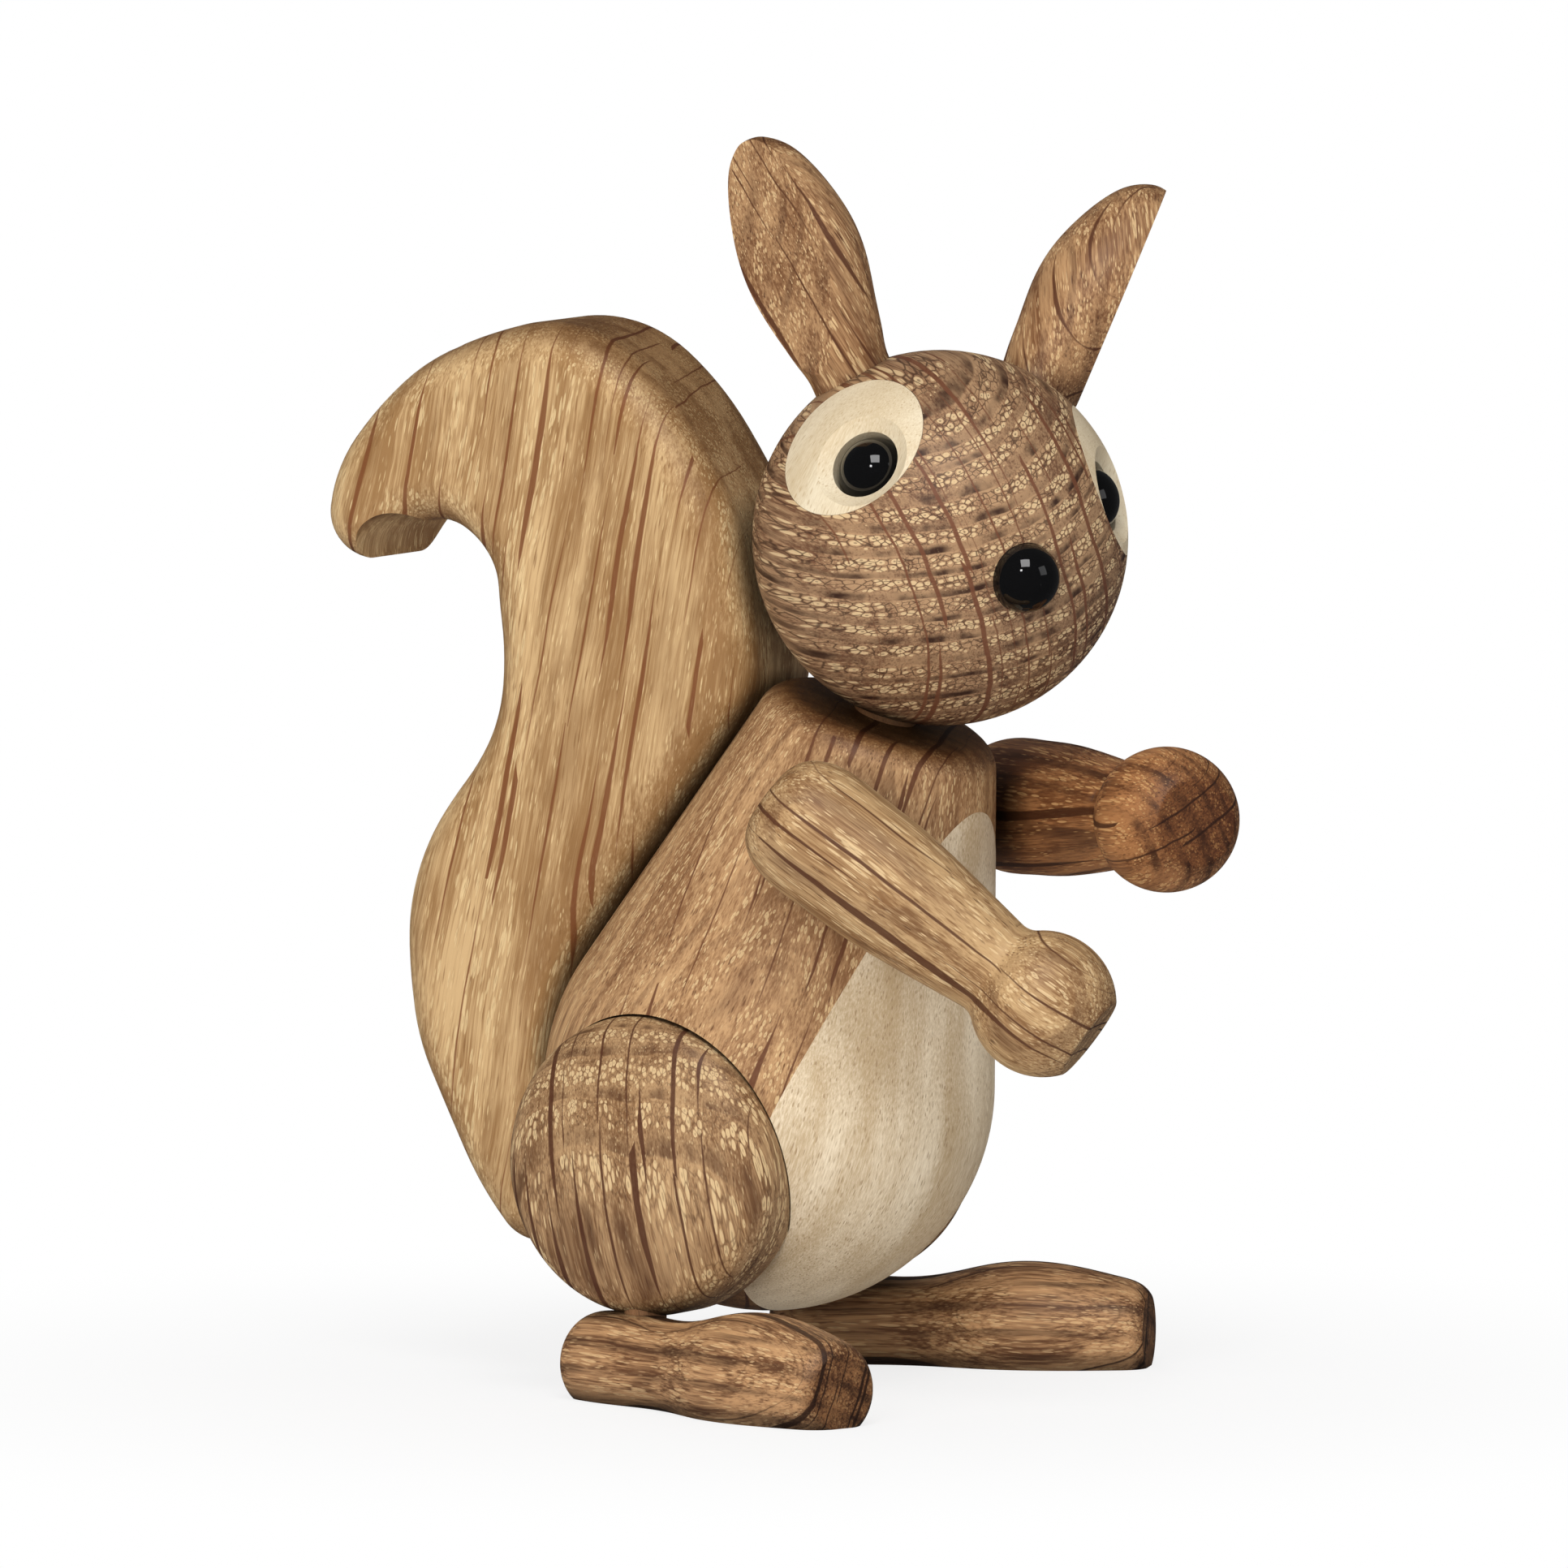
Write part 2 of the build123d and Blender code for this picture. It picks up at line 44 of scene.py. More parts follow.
# Node helpers
class Graph:
    """Short calls for building one material's nodes."""

    def __init__(self, name):
        self.material = bpy.data.materials.new(name)
        self.material.use_nodes = True
        self.tree = self.material.node_tree
        self.tree.nodes.clear()
        self.surface = self.node("ShaderNodeBsdfPrincipled")
        self.output = self.node("ShaderNodeOutputMaterial")
        self.link(self.surface.outputs["BSDF"], self.output.inputs["Surface"])

    def node(self, kind):
        return self.tree.nodes.new(kind)

    def link(self, start, end):
        self.tree.links.new(start, end)

    def put(self, socket, value):
        """Sets a socket from another socket, a number or a tuple."""
        if isinstance(value, bpy.types.NodeSocket):
            self.link(value, socket)
        else:
            socket.default_value = value

    def math(self, operation, first, second=0.0):
        node = self.node("ShaderNodeMath")
        node.operation = operation
        self.put(node.inputs[0], first)
        self.put(node.inputs[1], second)
        return node.outputs[0]

    def add(self, first, *others):
        for other in others:
            first = self.math("ADD", first, other)
        return first

    def times(self, first, *others):
        for other in others:
            first = self.math("MULTIPLY", first, other)
        return first

    def minus(self, first, second):
        return self.math("SUBTRACT", first, second)

    def over(self, first, second):
        return self.math("DIVIDE", first, second)

    def size(self, value):
        return self.math("ABSOLUTE", value)

    def vector(self, operation, first, second=(0.0, 0.0, 0.0)):
        node = self.node("ShaderNodeVectorMath")
        node.operation = operation
        self.put(node.inputs[0], first)
        if operation != "LENGTH":
            self.put(node.inputs[1], second)
        return node.outputs["Value" if operation in ("LENGTH", "DOT_PRODUCT") else "Vector"]

    def split(self, vector):
        node = self.node("ShaderNodeSeparateXYZ")
        self.link(vector, node.inputs[0])
        return node.outputs

    def join(self, x, y, z):
        node = self.node("ShaderNodeCombineXYZ")
        for socket, value in zip(node.inputs, (x, y, z)):
            self.put(socket, value)
        return node.outputs[0]

    def place(self):
        return self.node("ShaderNodeTexCoord").outputs["Object"]

    def noise(self, vector, scale=1.0, detail=2.0, roughness=0.5):
        node = self.node("ShaderNodeTexNoise")
        self.link(vector, node.inputs["Vector"])
        node.inputs["Scale"].default_value = scale
        node.inputs["Detail"].default_value = detail
        node.inputs["Roughness"].default_value = roughness
        return node.outputs["Fac"]

    def cells(self, vector, randomness=1.0, feature="F1"):
        """Irregular cells, one to each unit of the vector."""
        node = self.node("ShaderNodeTexVoronoi")
        node.feature = feature
        self.link(vector, node.inputs["Vector"])
        node.inputs["Scale"].default_value = 1.0
        node.inputs["Randomness"].default_value = randomness
        return node.outputs

    def ramp(self, value, low, high, start=0.0, end=1.0, kind="SMOOTHSTEP"):
        """Maps low..high smoothly to start..end, with nothing beyond."""
        node = self.node("ShaderNodeMapRange")
        node.interpolation_type = kind
        self.put(node.inputs["Value"], value)
        self.put(node.inputs["From Min"], low)
        self.put(node.inputs["From Max"], high)
        self.put(node.inputs["To Min"], start)
        self.put(node.inputs["To Max"], end)
        return node.outputs["Result"]

    def fade(self, value, low, high):
        """One below the low value, falling smoothly to nothing at the high one."""
        return self.ramp(value, low, high, 1.0, 0.0)

    def mix(self, share, first, second, kind="MIX"):
        node = self.node("ShaderNodeMix")
        node.data_type = "RGBA"
        node.blend_type = kind
        self.put(node.inputs["Factor"], share)
        self.put(node.inputs["A"], first)
        self.put(node.inputs["B"], second)
        return next(out for out in node.outputs if out.type == "RGBA")

    def grain_place(self, grain, ring_way, centre):
        """Places in millimetres, x away from the pith, z along the grain, and the way of y."""
        z_way = Vector(grain).normalized()
        x_way = Vector(ring_way) - z_way * Vector(ring_way).dot(z_way)
        x_way.normalize()
        y_way = z_way.cross(x_way)
        moved = self.vector("SUBTRACT", self.place(), tuple(centre))
        ways = [tuple(way / MM) for way in (x_way, y_way, z_way)]
        measured = self.join(*[self.vector("DOT_PRODUCT", moved, way) for way in ways])
        return self.split(measured), tuple(y_way)

    def with_painted_shade(self, colour, share):
        """Paints shade into the colour where another surface is close."""
        node = self.node("ShaderNodeAmbientOcclusion")
        node.samples = PAINTED_SHADE_SAMPLES
        node.inputs["Distance"].default_value = PAINTED_SHADE_REACH
        shade = self.ramp(node.outputs["AO"], *PAINTED_SHADE_OPENNESS, 1.0 - share, 1.0)
        return self.mix(1.0, colour, self.join(shade, shade, shade), "MULTIPLY")

    def bump(self, height, strength, distance):
        node = self.node("ShaderNodeBump")
        node.inputs["Strength"].default_value = strength
        node.inputs["Distance"].default_value = distance
        self.link(height, node.inputs["Height"])
        return node.outputs["Normal"]

    def finish(self, colour, normal, roughness, specular):
        """Links the surface's colour, relief and dullness, and sets how much it mirrors."""
        self.link(colour, self.surface.inputs["Base Color"])
        self.link(normal, self.surface.inputs["Normal"])
        self.put(self.surface.inputs["Roughness"], roughness)
        self.surface.inputs["Specular IOR Level"].default_value = specular
        return self.material


def rgb(red, green, blue):
    """A colour given in 0..255 screen values."""
    def linear(value):
        value /= SCREEN_MAX
        if value <= TOE_END:
            return value / TOE_SLOPE
        return ((value + CURVE_LIFT) / (1 + CURVE_LIFT)) ** CURVE_POWER
    return (linear(red), linear(green), linear(blue), 1.0)


# Oak. Each noise has its fineness across and along the grain, in steps per millimetre,
# a shift that sets it apart from the others, its detail and its roughness
OAK_NOISES = {
    "sway x": (0.06, 0.020, 0.0, 2.0, 0.5),
    "sway y": (0.06, 0.020, 7.3, 2.0, 0.5),
    "ripple": (0.35, 0.12, 0.0, 2.0, 0.5),
    "patches": (0.45, 0.10, 3.1, 2.0, 0.5),
    "flecks": (0.7, 0.16, 9.2, 2.0, 0.5),
    "dashes": (0.5, 0.10, 5.7, 2.0, 0.5),
    "streaks": (3.4, 0.06, 1.7, 3.0, 0.6),
    "bands": (0.50, 0.025, 2.9, 3.0, 0.6),
    "fibres": (6.5, 0.16, 4.4, 2.0, 0.65),
    "clouds": (0.16, 0.05, 6.8, 3.0, 0.5),
}

# Growth rings: how often their width changes, in steps per millimetre, by how many rings,
# and where in a ring the porous early wood and the dense late wood begin and end
RING_CHANGE, RING_SHIFT, RING_DETAIL = 0.23, 1.6, 1.0
EARLY_START, EARLY_END = (0.0, 0.10), (0.50, 0.72)
LATE_START, LATE_END = (0.55, 0.80), (0.94, 1.0)
LATE_PATCHES = (0.30, 0.60, 1.0, 0.20)

# Rays: reach away from the pith in millimetres, taper from the middle of a sheet to its end,
# spread of widths, how flat to the surface they fade out, and their soft edge in millimetres
RAY_REACH = 26.0
RAY_TAPER = (0.10, 0.52)
RAY_WIDTHS = (0.15, 1.0, 0.25, 1.0)
RAY_FLATNESS = (0.55, 0.92)
RAY_EDGE = (-0.05, 0.07)
RAY_SHOW = 0.9

# Pores: irregularity, slant along the grain, the patches that hold them, their least size,
# their soft edge, and the dark core and thin dark rim of each. Sizes are shares of a cell
PORE_IRREGULAR = 0.85
PORE_SLANT = 1.7
PORE_PATCHES = (0.30, 0.55)
PORE_LEAST = 0.10
PORE_EDGE = (0.0, 0.10)
CORE_SHARE, CORE_EDGE = 0.40, (0.0, 0.08)
RIM_EDGE = (0.02, 0.10)

# Fine marks along the grain: width and length in millimetres, the cell colour that picks them
# and from where, their soft edge as a share of a cell, and the patches that hold them
OAK_MARKS = {
    "flecks": (0.20, 1.7, 1, (0.40, 0.80), (0.18, 0.42), (0.35, 0.62)),
    "dashes": (0.26, 3.1, 2, (0.35, 0.75), (0.14, 0.42), (0.30, 0.65)),
}

# Shares of the tone, and the middle to which it is brought
STREAK_SHARE, FIBRE_SHARE, TONE_MIDDLE = 0.40, 0.34, 0.65

# Cut ends: how squarely the grain meets the surface where they begin, and their darker tint
END_FACING = (0.35, 0.98)
END_TINT = rgb(178, 160, 142)

# Surface relief, as shares of the bump's depth, and dullness
FIBRE_HEIGHT, STREAK_HEIGHT = 0.25, 0.25
PORE_DEPTH, CORE_DEPTH, DASH_DEPTH = 0.35, 0.4, 0.3
OAK_BUMP, OAK_BUMP_DEPTH = 0.45, 0.14 * MM
OAK_ROUGHNESS, FIBRE_ROUGHNESS, PORE_ROUGHNESS = 0.42, 0.16, 0.10
OAK_SPECULAR = 0.35


def oak(
    name, grain, ring_way, centre, light, dark, pore, ray, late,
    pith=45.0, ring=2.2, sway=1.8, wave=0.4, band=0.28, mottle=0.40, low=0.52, high=0.78,
    pore_size=0.36, pore_length=3.0, pore_fill=0.34, ray_gap=3.2, ray_length=15.0, ray_width=0.26,
    pore_show=0.7, core_show=0.35, rim_show=0.0, fleck_show=0.65, dash_show=0.65,
    late_show=0.45, end_show=0.55, painted_shade=0.75,
):
    """Oak with growth rings, light pores, long dark rays and fine fibres.

    Lengths are in millimetres. Each value that ends in show says how strongly a mark shows.
    """
    g = Graph(name)
    (x, y, z), sheet_way = g.grain_place(grain, ring_way, centre)
    normal = g.node("ShaderNodeTexCoord").outputs["Normal"]

    def pattern(kind):
        """One of the noises, laid in the wood."""
        across, along, shift, detail, roughness = OAK_NOISES[kind]
        place = g.join(g.times(x, across), g.times(y, across), g.times(z, along))
        if shift:
            place = g.vector("ADD", place, (shift, shift, shift))
        return g.noise(place, 1.0, detail, roughness)

    def swung(kind, reach):
        return g.times(g.minus(pattern(kind), 0.5), reach)

    # The grain isn't straight: it sways slowly and ripples finely
    sway_x = swung("sway x", sway * 2)
    sway_y = swung("sway y", sway * 2)
    ripple = swung("ripple", wave)
    x = g.add(x, sway_x, ripple)
    y = g.add(y, sway_y, ripple)

    # Growth rings about a distant pith
    out = g.add(x, pith)
    radius = g.math("SQRT", g.add(g.times(out, out), g.times(y, y)))
    steps = g.join(g.times(radius, RING_CHANGE), 0.0, 0.0)
    uneven = g.times(g.noise(steps, 1.0, RING_DETAIL), RING_SHIFT)
    phase = g.math("FRACT", g.add(g.over(radius, ring), uneven))
    early = g.times(g.ramp(phase, *EARLY_START), g.fade(phase, *EARLY_END))
    latewood = g.times(g.ramp(phase, *LATE_START), g.fade(phase, *LATE_END))
    patches = pattern("patches")
    latewood = g.times(latewood, g.ramp(patches, *LATE_PATCHES))

    # Rays: thin upright sheets that run out from the pith, seen where they are cut across
    spread = g.join(g.over(radius, RAY_REACH), g.over(y, ray_gap), g.over(z, ray_length))
    sheet = g.cells(spread)
    offset = g.split(g.vector("SUBTRACT", spread, sheet["Position"]))
    across = g.times(g.size(offset[1]), ray_gap)
    taper = g.fade(g.size(offset[2]), *RAY_TAPER)
    chance = g.ramp(g.split(sheet["Color"])[0], *RAY_WIDTHS, "LINEAR")
    flatness = g.size(g.vector("DOT_PRODUCT", normal, sheet_way))
    width = g.times(taper, chance, ray_width, g.fade(flatness, *RAY_FLATNESS))
    rays = g.ramp(g.minus(width, across), *RAY_EDGE)

    # Pores: long thin tubes, dashes along the grain and spots across it
    tubes = g.join(
        g.over(x, pore_size), g.over(y, pore_size),
        g.add(g.over(z, pore_length), g.times(radius, PORE_SLANT)),
    )
    tube = g.cells(tubes, PORE_IRREGULAR)
    room = g.times(early, g.ramp(patches, *PORE_PATCHES))
    reach = g.add(g.times(room, pore_fill), PORE_LEAST)
    pores = g.times(g.ramp(g.minus(reach, tube["Distance"]), *PORE_EDGE), g.minus(1.0, rays))
    cores = g.ramp(g.minus(g.times(reach, CORE_SHARE), tube["Distance"]), *CORE_EDGE)
    edge = g.cells(tubes, PORE_IRREGULAR, "DISTANCE_TO_EDGE")["Distance"]
    rims = g.times(g.fade(edge, *RIM_EDGE), early)

    def marks(kind):
        """Fine marks along the grain, gathered in patches."""
        thick, length, channel, chosen, soft, gathered = OAK_MARKS[kind]
        cell = g.cells(g.join(g.over(x, thick), g.over(y, thick), g.over(z, length)))
        picked = g.ramp(g.split(cell["Color"])[channel], *chosen)
        return g.times(
            g.fade(cell["Distance"], *soft), picked, g.ramp(pattern(kind), *gathered),
        )

    # Light flecks all over, and dark dashes between them
    flecks = marks("flecks")
    dashes = marks("dashes")

    # Colour
    streak = pattern("streaks")
    fibre = pattern("fibres")
    tone = g.add(
        g.times(streak, STREAK_SHARE), g.times(pattern("bands"), band),
        g.times(pattern("clouds"), mottle), g.times(fibre, FIBRE_SHARE),
    )
    middle = (STREAK_SHARE + FIBRE_SHARE + band + mottle) / 2
    colour = g.mix(g.ramp(g.add(tone, TONE_MIDDLE - middle), low, high), dark, light)
    for mask, show, tint in (
        (latewood, late_show, late), (dashes, dash_show, late), (flecks, fleck_show, pore),
        (pores, pore_show, pore), (rims, rim_show, late), (cores, core_show, late),
        (rays, RAY_SHOW, ray),
    ):
        colour = g.mix(g.times(mask, show), colour, tint)

    # Cut ends drink the oil and look darker
    facing = g.size(g.vector("DOT_PRODUCT", normal, tuple(Vector(grain).normalized())))
    ends = g.times(g.ramp(facing, *END_FACING), end_show)
    colour = g.mix(ends, colour, g.mix(1.0, colour, END_TINT, "MULTIPLY"))

    # Surface: oiled and slightly open-pored
    relief = g.times(fibre, FIBRE_HEIGHT)
    for mask, depth in ((pores, PORE_DEPTH), (cores, CORE_DEPTH), (dashes, DASH_DEPTH)):
        relief = g.minus(relief, g.times(mask, depth))
    relief = g.add(relief, g.times(streak, STREAK_HEIGHT))
    dull = g.add(g.times(fibre, FIBRE_ROUGHNESS), OAK_ROUGHNESS, g.times(pores, PORE_ROUGHNESS))
    # The colour gets painted shade where another piece is close
    return g.finish(
        g.with_painted_shade(colour, painted_shade), g.bump(relief, OAK_BUMP, OAK_BUMP_DEPTH), dull, OAK_SPECULAR,
    )


# Maple. Each noise has its fineness, in steps per millimetre along x, y and z of the grain,
# its detail and its roughness
MAPLE_CLOUDS = ((0.12, 0.12, 0.03), 3.0, 0.5)
MAPLE_RINGS = ((0.8, 0.10, 0.02), 2.0, 0.5)
MAPLE_FIBRES = ((7.0, 7.0, 0.9), 3.0, 0.65)
MAPLE_SWAY = 3.0
MAPLE_FLECK_WIDTH, MAPLE_FLECK_LENGTH = 0.24, 1.3
MAPLE_FLECK_EDGE, MAPLE_FLECK_CHANCE, MAPLE_FLECK_SHOW = (0.16, 0.40), (0.35, 0.75), 0.65
MAPLE_RING_SHARE, MAPLE_CLOUD_SHARE, MAPLE_FIBRE_SHARE = 0.15, 0.55, 0.45
MAPLE_TONE = (0.40, 0.75)
MAPLE_FIBRE_HEIGHT, MAPLE_FLECK_DEPTH = 0.3, 0.3
MAPLE_BUMP, MAPLE_BUMP_DEPTH = 0.25, 0.06 * MM
MAPLE_ROUGHNESS, MAPLE_FIBRE_ROUGHNESS = 0.44, 0.16
MAPLE_SPECULAR = 0.38


def maple(name, grain, ring_way, centre, light, dark, fleck, painted_shade=0.6):
    """Pale close-grained maple with fine short flecks."""
    g = Graph(name)
    (x, y, z), _ = g.grain_place(grain, ring_way, centre)

    def pattern(fineness, detail, roughness):
        ways = [g.times(way, fine) for way, fine in zip((x, y, z), fineness)]
        return g.noise(g.join(*ways), 1.0, detail, roughness)

    cloud = pattern(*MAPLE_CLOUDS)
    x = g.add(x, g.times(g.minus(cloud, 0.5), MAPLE_SWAY))
    rings = pattern(*MAPLE_RINGS)
    fibre = pattern(*MAPLE_FIBRES)
    tube = g.cells(g.join(
        g.over(x, MAPLE_FLECK_WIDTH), g.over(y, MAPLE_FLECK_WIDTH), g.over(z, MAPLE_FLECK_LENGTH),
    ))
    flecks = g.times(
        g.fade(tube["Distance"], *MAPLE_FLECK_EDGE),
        g.ramp(g.split(tube["Color"])[0], *MAPLE_FLECK_CHANCE),
    )
    tone = g.add(
        g.times(rings, MAPLE_RING_SHARE), g.times(cloud, MAPLE_CLOUD_SHARE),
        g.times(fibre, MAPLE_FIBRE_SHARE),
    )
    colour = g.mix(g.ramp(tone, *MAPLE_TONE), dark, light)
    colour = g.mix(g.times(flecks, MAPLE_FLECK_SHOW), colour, fleck)
    relief = g.minus(g.times(fibre, MAPLE_FIBRE_HEIGHT), g.times(flecks, MAPLE_FLECK_DEPTH))
    dull = g.add(g.times(fibre, MAPLE_FIBRE_ROUGHNESS), MAPLE_ROUGHNESS)
    # The colour gets painted shade where another piece is close
    return g.finish(
        g.with_painted_shade(colour, painted_shade), g.bump(relief, MAPLE_BUMP, MAPLE_BUMP_DEPTH), dull,
        MAPLE_SPECULAR,
    )


# Lacquer: fineness in steps per metre
PEEL_FINENESS, PEEL_DETAIL = 900.0, 2.0
DUST_FINENESS, DUST_DETAIL, DUST_ROUGHNESS = 5200.0, 2.0, 0.7
SPECK_START, SPECK_SHOW = (0.70, 0.80), 0.08
LACQUER_COLOUR, SPECK_COLOUR = rgb(9, 9, 10), rgb(60, 58, 56)
PEEL_BUMP, PEEL_DEPTH = 0.10, 0.05 * MM
PEEL_DULL, SPECK_DULL = 0.06, 0.2
LACQUER_SPECULAR = 0.4
LACQUER_COAT, LACQUER_COAT_ROUGHNESS = 0.15, 0.03


def gloss_black(name):
    """Black lacquer with a faint orange-peel and a few dull spots."""
    g = Graph(name)
    place = g.place()
    peel = g.noise(place, PEEL_FINENESS, PEEL_DETAIL)
    specks = g.ramp(g.noise(place, DUST_FINENESS, DUST_DETAIL, DUST_ROUGHNESS), *SPECK_START)
    g.surface.inputs["Coat Weight"].default_value = LACQUER_COAT
    g.surface.inputs["Coat Roughness"].default_value = LACQUER_COAT_ROUGHNESS
    return g.finish(
        g.mix(g.times(specks, SPECK_SHOW), LACQUER_COLOUR, SPECK_COLOUR),
        g.bump(peel, PEEL_BUMP, PEEL_DEPTH),
        g.add(g.times(peel, PEEL_DULL), g.times(specks, SPECK_DULL)),
        LACQUER_SPECULAR,
    )


# Colours of the woods, and how each differs from the plain oak above
woods = {
    "body": {
        "light": rgb(192, 152, 108), "dark": rgb(136, 96, 62), "pore": rgb(218, 186, 138),
        "ray": rgb(98, 56, 34), "late": rgb(98, 62, 38),
        "ray_gap": 2.8, "ray_length": 22.0, "ray_width": 0.34, "fleck_show": 0.75,
        # The last value: how strongly painted shade darkens the body near other pieces
        "dash_show": 0.8, "end_show": 1.0, "painted_shade": 0.55,
    },
    "head": {
        "light": rgb(172, 136, 100), "dark": rgb(112, 76, 53), "pore": rgb(212, 182, 138),
        "ray": rgb(108, 64, 42), "late": rgb(58, 34, 23),
        "pith": 60.0, "sway": 1.0, "low": 0.50, "high": 0.72,
        "pore_size": 0.68, "pore_length": 4.0, "pore_fill": 0.44, "pore_show": 0.85,
        "core_show": 0.55, "rim_show": 0.75, "fleck_show": 0.1, "dash_show": 0.5,
        "ray_gap": 1.9, "ray_length": 40.0, "ray_width": 0.30, "late_show": 1.0, "end_show": 0.0,
    },
    "tail": {
        "light": rgb(202, 168, 121), "dark": rgb(152, 114, 71), "pore": rgb(222, 194, 145),
        "ray": rgb(118, 68, 35), "late": rgb(132, 94, 54),
        "pith": 70.0, "ring": 3.2, "band": 0.35, "mottle": 0.55,
        "ray_gap": 3.4, "ray_length": 30.0, "ray_width": 0.34, "pore_show": 0.6,
        "fleck_show": 0.7, "dash_show": 0.8, "late_show": 0.6, "end_show": 0.9,
    },
    "arm_right": {
        "light": rgb(190, 155, 110), "dark": rgb(132, 94, 58), "pore": rgb(220, 190, 144),
        "ray": rgb(82, 45, 26), "late": rgb(90, 56, 34),
        "low": 0.54, "high": 0.76, "ray_gap": 2.6, "ray_length": 44.0, "ray_width": 0.42,
        "fleck_show": 0.8, "dash_show": 0.8, "late_show": 0.5, "end_show": 0.4,
    },
    # The far arm's colours are darker than the near arm's: painted shade, since the body shades
    # this arm
    "arm_left": {
        "light": rgb(168, 116, 72), "dark": rgb(108, 66, 38), "pore": rgb(206, 160, 106),
        "ray": rgb(66, 36, 20), "late": rgb(72, 42, 25),
        "low": 0.54, "high": 0.76, "ray_gap": 2.6, "ray_length": 44.0, "ray_width": 0.42,
        "fleck_show": 0.8, "dash_show": 0.8, "late_show": 0.9, "end_show": 1.0,
    },
    "thigh": {
        "light": rgb(184, 148, 106), "dark": rgb(122, 86, 54), "pore": rgb(214, 184, 138),
        "ray": rgb(80, 43, 25), "late": rgb(84, 52, 31),
        "pith": 60.0, "sway": 1.2, "pore_size": 0.50, "pore_length": 2.6, "pore_fill": 0.42,
        "pore_show": 0.85, "rim_show": 0.45, "fleck_show": 0.6, "dash_show": 0.7,
        "ray_gap": 2.8, "ray_length": 26.0, "ray_width": 0.40, "late_show": 0.8, "end_show": 0.2,
    },
    "ear": {
        "light": rgb(180, 140, 98), "dark": rgb(118, 78, 48), "pore": rgb(218, 184, 136),
        "ray": rgb(84, 46, 26), "late": rgb(78, 46, 28),
        "low": 0.53, "high": 0.77, "ray_gap": 3.0, "ray_length": 24.0, "ray_width": 0.30,
        "fleck_show": 0.85, "dash_show": 0.85, "end_show": 1.0,
    },
    "foot": {
        "light": rgb(190, 146, 102), "dark": rgb(104, 68, 43), "pore": rgb(216, 178, 130),
        "ray": rgb(58, 34, 21), "late": rgb(60, 37, 24),
        "sway": 1.0, "band": 0.40, "mottle": 0.2, "low": 0.54, "high": 0.76,
        "ray_gap": 1.6, "ray_length": 70.0, "ray_width": 0.40, "dash_show": 0.5,
        "late_show": 0.7, "end_show": 1.0,
    },
}
belly_maple = {"light": rgb(240, 224, 196), "dark": rgb(188, 162, 124), "fleck": rgb(152, 120, 84)}
eye_maple = {
    "light": rgb(228, 214, 186), "dark": rgb(202, 180, 144), "fleck": rgb(184, 156, 118),
    # Painted shade near the beads is kept faint on the eye plugs
    "painted_shade": 0.1,
}
beech = {"light": rgb(150, 108, 72), "dark": rgb(118, 80, 50), "fleck": rgb(92, 60, 38)}


# Dressing the pieces
def centre_of(node):
    low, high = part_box(node)
    return (Vector(low) + Vector(high)) / 2


def dress(node, material):
    piece = frame["nodes"][node]
    piece.data.materials.clear()
    piece.data.materials.append(material)


def dress_in(wood, node, name, grain, ring_way, look):
    """Dresses a piece in a wood of its own, with the grain one way and the rings another."""
    dress(node, wood(name, grain, ring_way, centre_of(node), **look))


joints = {joint["name"]: joint for joint in frame["record"]["behaviour"]["joints"]}


def from_joint(node, joint):
    return centre_of(node) - Vector(joints[joint]["pos_m"])


body_way = Vector(joints["head_turn"]["axis"])
nose_way = from_joint("nose_bead", "head_turn")
dress_in(oak, "body", "body oak", body_way, (1.0, 0.35, 0.0), woods["body"])
dress_in(oak, "head", "head oak", nose_way, (0.13, -0.39, -0.90), woods["head"])
dress_in(oak, "tail", "tail oak", (0.0, -0.20, 1.0), (1.0, 0.2, 0.0), woods["tail"])
sides = {"left": 1.0, "right": -1.0}
for side, out in sides.items():
    arm, thigh, ear, foot = [part + side for part in ("arm_", "thigh_", "ear_", "foot_")]
    arm_way = from_joint(arm, "shoulder_" + side)
    dress_in(oak, arm, "arm oak " + side, arm_way, (out, 0.2, 0.4), woods[arm])
    dress_in(
        oak, thigh, "thigh oak " + side, (out * 0.30, 0.10, 0.95), (out, 0.0, 0.0), woods["thigh"],
    )
    dress_in(oak, ear, "ear oak " + side, (out * 0.46, 0.34, 0.82), (out, -0.5, 0.0), woods["ear"])
    dress_in(
        oak, foot, "foot oak " + side, (out * 0.37, -0.93, 0.0), (0.4, 0.0, 1.0), woods["foot"],
    )

dress_in(maple, "belly", "belly maple", body_way, (1.0, 0.0, 0.0), belly_maple)
for side in sides:
    eye_plug = "eye_plug_" + side
    dress_in(maple, eye_plug, "eye maple " + side, (0.3, -0.4, 1.0), (1.0, 0.3, 0.0), eye_maple)

lacquer = gloss_black("black lacquer")
for node in ("eye_bead_left", "eye_bead_right", "nose_bead"):
    dress(node, lacquer)

dowels = (
    "neck_dowel", "ear_dowels", "shoulder_dowels", "hip_dowels", "ankle_dowels", "tail_dowels",
)
for node in dowels:
    dress_in(maple, node, "beech " + node, (0.0, 0.2, 1.0), (1.0, 0.0, 0.0), beech)

# Floor. It is lit paper near the figure and glows plain white from GLOW_END outwards
FLOOR_SIZE = 12.0
PAPER_DARK, PAPER_LIGHT = (0.90, 0.90, 0.90, 1.0), (0.93, 0.93, 0.93, 1.0)
PAPER_FINENESS, PAPER_DETAIL = 420.0, 3.0
PAPER_BUMP, PAPER_DEPTH = 0.04, 0.1 * MM
PAPER_ROUGHNESS, PAPER_SPECULAR = 0.75, 0.2
GLOW_START, GLOW_END = 0.03, 0.12
GLOW_LEAST, GLOW_FULL = 0.80, 1.0


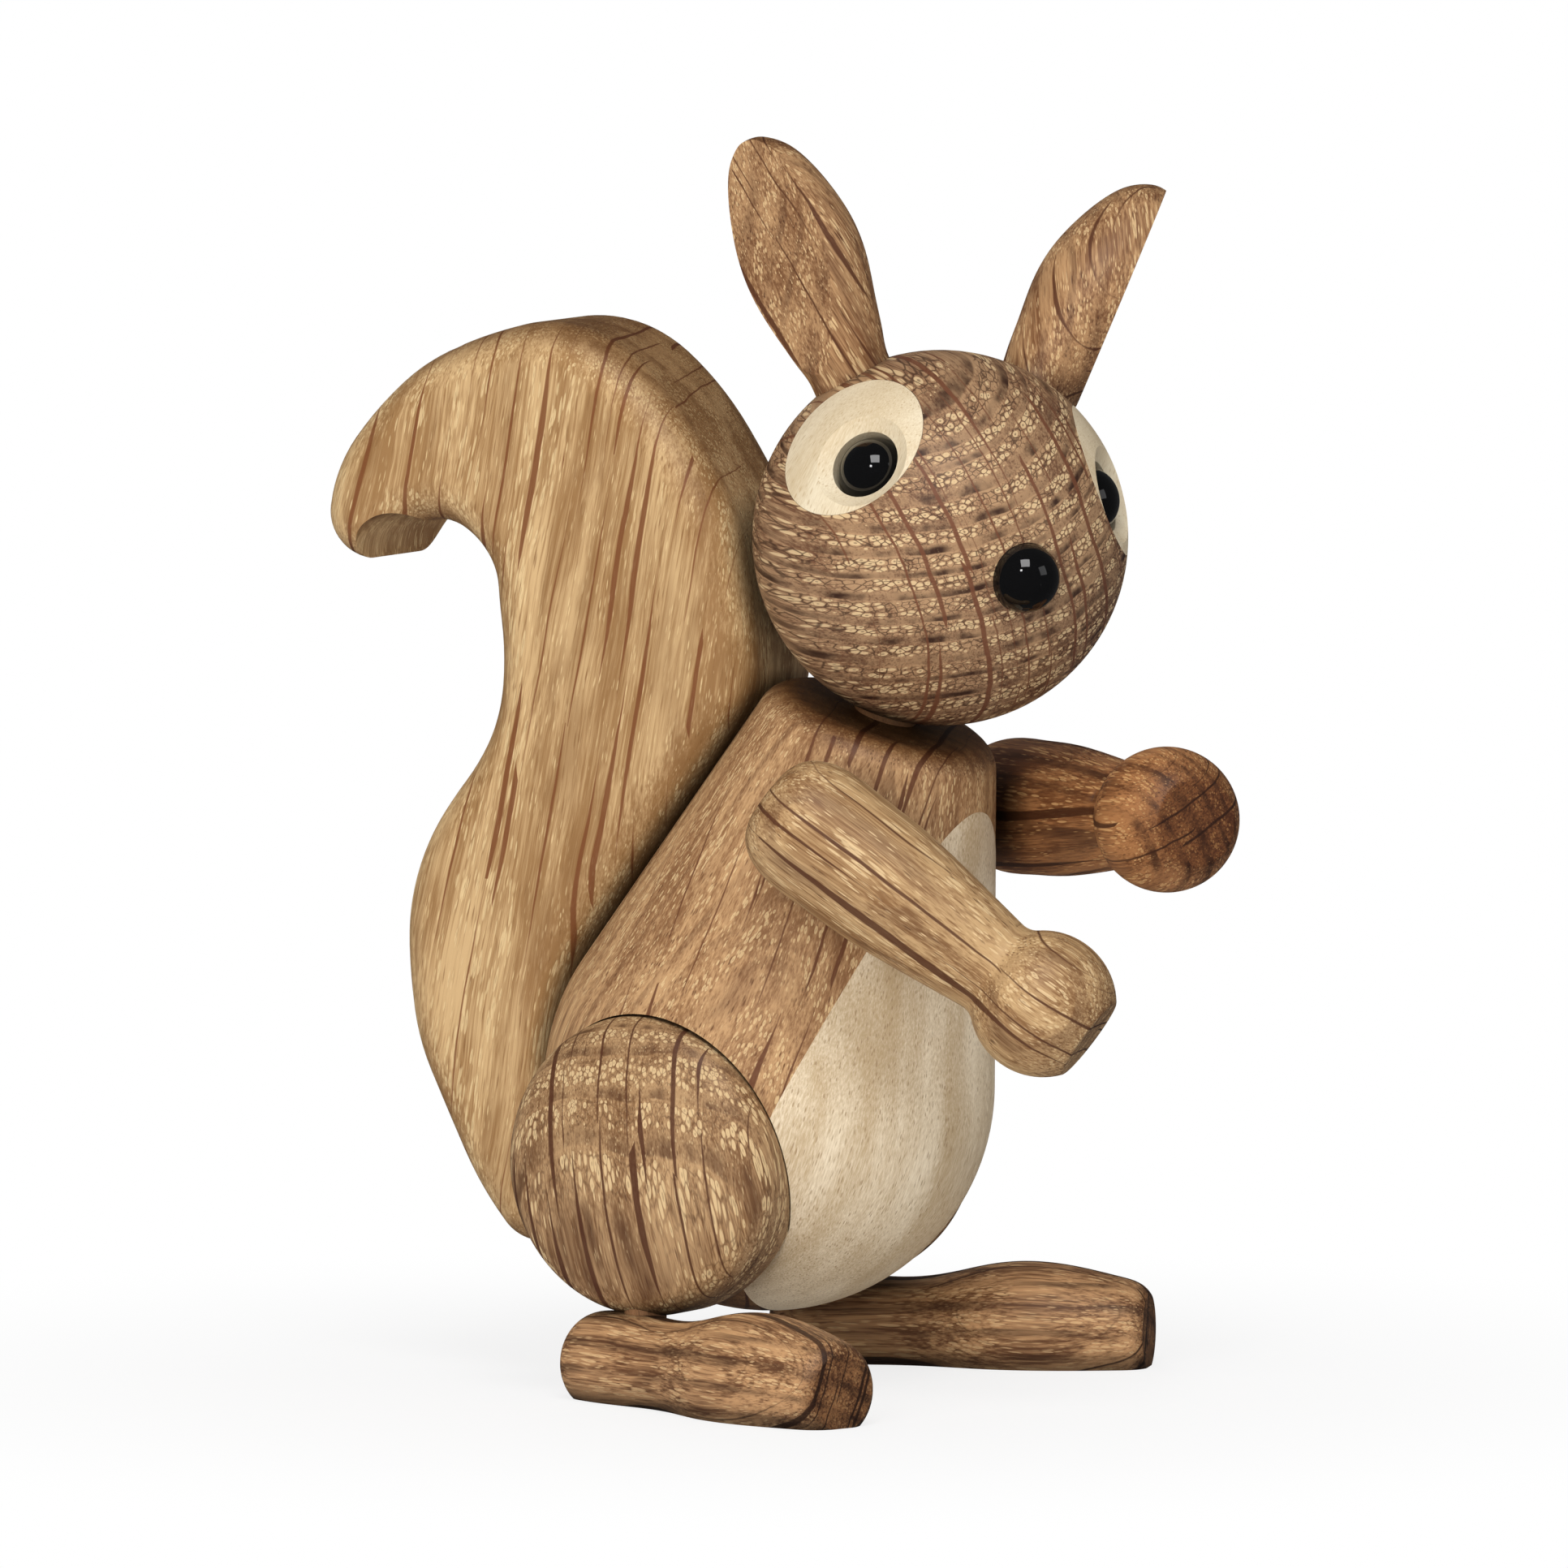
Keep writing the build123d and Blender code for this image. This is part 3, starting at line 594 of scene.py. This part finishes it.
def floor_material():
    """Pale paper under the figure, going over to the plain white background further out."""
    g = Graph("floor paper")
    place = g.place()
    tooth = g.noise(place, PAPER_FINENESS, PAPER_DETAIL)
    g.finish(
        g.mix(tooth, PAPER_DARK, PAPER_LIGHT), g.bump(tooth, PAPER_BUMP, PAPER_DEPTH),
        PAPER_ROUGHNESS, PAPER_SPECULAR,
    )
    glow = g.node("ShaderNodeEmission")
    glow.inputs["Strength"].default_value = 1.0
    blend = g.node("ShaderNodeMixShader")
    seen = g.node("ShaderNodeLightPath").outputs["Is Camera Ray"]
    share = g.ramp(g.vector("LENGTH", place), GLOW_START, GLOW_END, GLOW_LEAST, GLOW_FULL)
    g.link(g.times(share, seen), blend.inputs[0])
    g.link(g.surface.outputs["BSDF"], blend.inputs[1])
    g.link(glow.outputs["Emission"], blend.inputs[2])
    g.link(blend.outputs["Shader"], g.output.inputs["Surface"])
    return g.material


bpy.ops.mesh.primitive_plane_add(size=FLOOR_SIZE, location=(0.0, 0.0, 0.0))
floor = bpy.context.object
floor.name = "floor"
floor.visible_glossy = False
floor.data.materials.append(floor_material())

# Surroundings: how bright they are as light, as a mirror image and as the background
ROOM_LIGHT, ROOM_MIRRORED, ROOM_SEEN = 0.32, 0.06, 1.0
world = bpy.data.worlds.new("studio")
bpy.context.scene.world = world
world.use_nodes = True
world_tree = world.node_tree
world_tree.nodes.clear()
ray_kinds = world_tree.nodes.new("ShaderNodeLightPath").outputs


def white(strength):
    node = world_tree.nodes.new("ShaderNodeBackground")
    node.inputs["Color"].default_value = WHITE
    node.inputs["Strength"].default_value = strength
    return node.outputs[0]


def either(ray_kind, for_others, for_these):
    """One shade for a kind of ray, and another for all others."""
    node = world_tree.nodes.new("ShaderNodeMixShader")
    world_tree.links.new(ray_kinds[ray_kind], node.inputs[0])
    world_tree.links.new(for_others, node.inputs[1])
    world_tree.links.new(for_these, node.inputs[2])
    return node.outputs[0]


lit = either("Is Glossy Ray", white(ROOM_LIGHT), white(ROOM_MIRRORED))
world_out = world_tree.nodes.new("ShaderNodeOutputWorld")
world_tree.links.new(either("Is Camera Ray", lit, white(ROOM_SEEN)), world_out.inputs["Surface"])

# Softboxes: way from the figure, distance, width, power, and whether the wood mirrors them
softboxes = {
    "key": ((-0.50, -0.34, 0.80), 0.8, 0.35, 2.6, True),
    "fill": ((-1.0, -0.16, 0.14), 1.2, 0.6, 8.8, False),
    "side": ((0.1, -1.0, 0.4), 1.2, 0.5, 0.9, True),
    "glint": ((-0.90, -0.30, 0.52), 1.2, 0.13, 1.1, True),
    "rim": ((0.80, 0.75, 0.45), 1.2, 0.7, 3.4, False),
}
target = Vector((5.17, 2.08, 55.82)) * MM


def facing_target(way, distance):
    """A place that way from the target, turned to look at it."""
    turn = way.to_track_quat("Z", "Y").to_matrix().to_4x4()
    return Matrix.Translation(target + way * distance) @ turn


for name, (way, distance, width, power, mirrored) in softboxes.items():
    box_light = bpy.data.lights.new(name, "AREA")
    box_light.shape = "SQUARE"
    box_light.size = width
    box_light.energy = power
    lamp = bpy.data.objects.new(name, box_light)
    bpy.context.scene.collection.objects.link(lamp)
    lamp.matrix_world = facing_target(Vector(way).normalized(), distance)
    lamp.visible_glossy = mirrored

# Camera
azimuth = math.radians(-60.0)
elevation = math.radians(5.3)
camera_distance = 2.5
camera_way = Vector((
    math.sin(azimuth) * math.cos(elevation),
    -math.cos(azimuth) * math.cos(elevation),
    math.sin(elevation),
))
camera_data = bpy.data.cameras.new("camera")
camera_data.sensor_width = 36.0
camera_data.lens = 612.6
camera = bpy.data.objects.new("camera", camera_data)
bpy.context.scene.collection.objects.link(camera)
camera.matrix_world = facing_target(camera_way, camera_distance)
bpy.context.scene.camera = camera

bpy.context.scene.view_settings.view_transform = "Standard"
